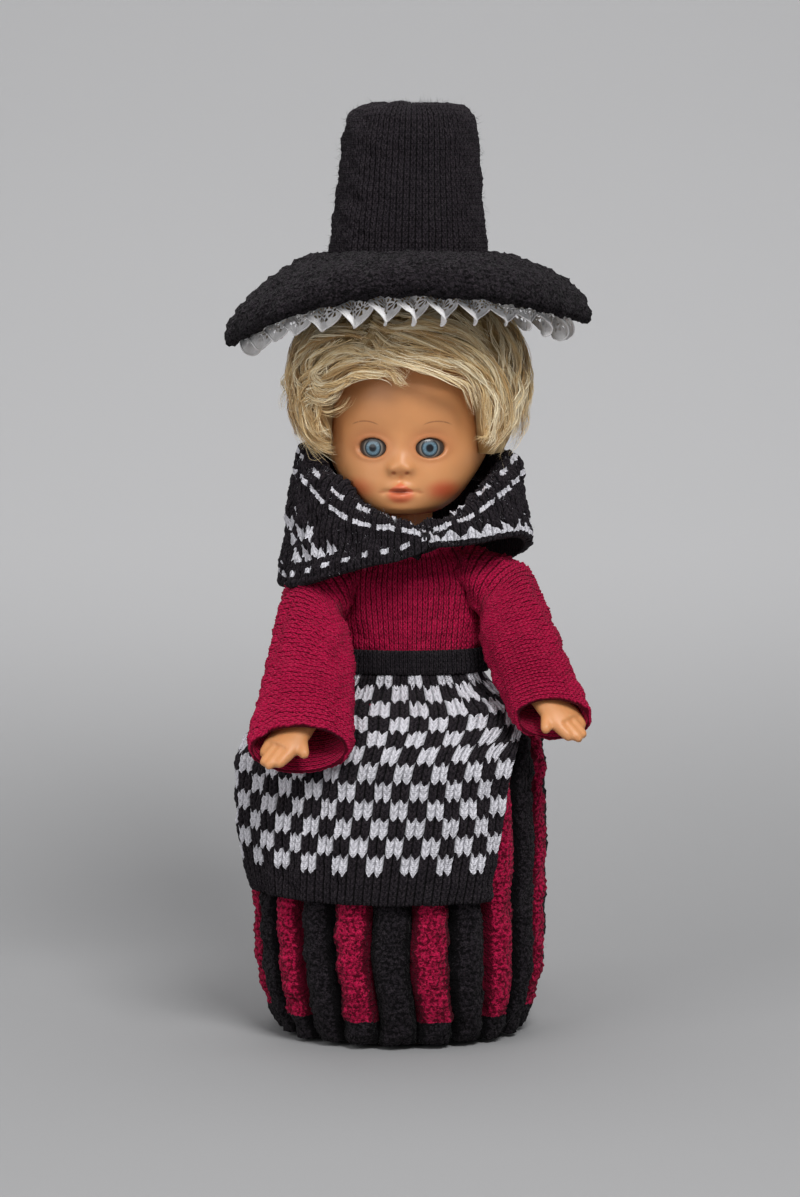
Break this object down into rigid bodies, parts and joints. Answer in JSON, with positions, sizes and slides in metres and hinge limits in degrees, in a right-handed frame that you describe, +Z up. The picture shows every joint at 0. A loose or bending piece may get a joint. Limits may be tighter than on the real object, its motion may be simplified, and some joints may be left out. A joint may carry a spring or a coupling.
{
  "type": "doll",
  "caption": "Jointed vinyl doll in knitted folk dress with a ribbed skirt, checked apron, shawl and a tall brimmed hat trimmed with lace.",
  "frame": {"origin": "middle of the doll's box at the level of its soles", "axes": "+Z up, the doll faces -Y, +X to the doll's own left"},
  "size_m": [0.144, 0.144, 0.371],
  "materials": {
    "skin_vinyl": "smooth tan vinyl with a soft sheen",
    "eye_plastic": "glossy blue-grey",
    "blonde_hair": "short wavy blonde fibre",
    "crimson_knit": "fuzzy stocking stitch",
    "ribbed_knit": "fat ribs, black and crimson in turn",
    "checked_knit": "stocking stitch in black and white checks",
    "black_knit": "fuzzy black wool",
    "white_lace": "gathered cotton lace",
    "white_wadding": "soft filling",
    "dark_metal": "small dark press stud"
  },
  "bodies": {
    "body": {"torso": "skin_vinyl", "bodice": "crimson_knit", "skirt": "ribbed_knit", "apron_panel": "checked_knit", "apron_waistband": "black_knit", "shawl": "black_knit", "shawl_fastener": "dark_metal"},
    "head": {"head": "skin_vinyl", "eye_left": "eye_plastic", "eye_right": "eye_plastic", "hair": "blonde_hair", "hat_crown": "black_knit", "hat_brim": "black_knit", "hat_stuffing": "white_wadding", "lace_frill": "white_lace"},
    "right_arm": {"arm_right": "skin_vinyl", "sleeve_right": "crimson_knit"},
    "left_arm": {"arm_left": "skin_vinyl", "sleeve_left": "crimson_knit"},
    "right_leg": {"leg_right": "skin_vinyl"},
    "left_leg": {"leg_left": "skin_vinyl"}
  },
  "joints": [
    {"name": "head_turn", "type": "hinge", "parent": "body", "child": "head", "pos_m": [0, 0, 0.2157], "axis": [0, 0, 1], "range_deg": [-60, 60]},
    {"name": "right_shoulder", "type": "hinge", "parent": "body", "child": "right_arm", "pos_m": [-0.02735, 0, 0.186], "axis": [-1, 0, 0], "range_deg": [0, 75], "deforming": ["shawl"]},
    {"name": "left_shoulder", "type": "hinge", "parent": "body", "child": "left_arm", "pos_m": [0.02735, 0, 0.186], "axis": [-1, 0, 0], "range_deg": [0, 75], "deforming": ["shawl"]},
    {"name": "right_hip", "type": "hinge", "parent": "body", "child": "right_leg", "pos_m": [-0.01235, 0, 0.126], "axis": [-1, 0, 0], "range_deg": [-8, 7]},
    {"name": "left_hip", "type": "hinge", "parent": "body", "child": "left_leg", "pos_m": [0.01235, 0, 0.126], "axis": [-1, 0, 0], "range_deg": [-8, 7]}
  ]
}
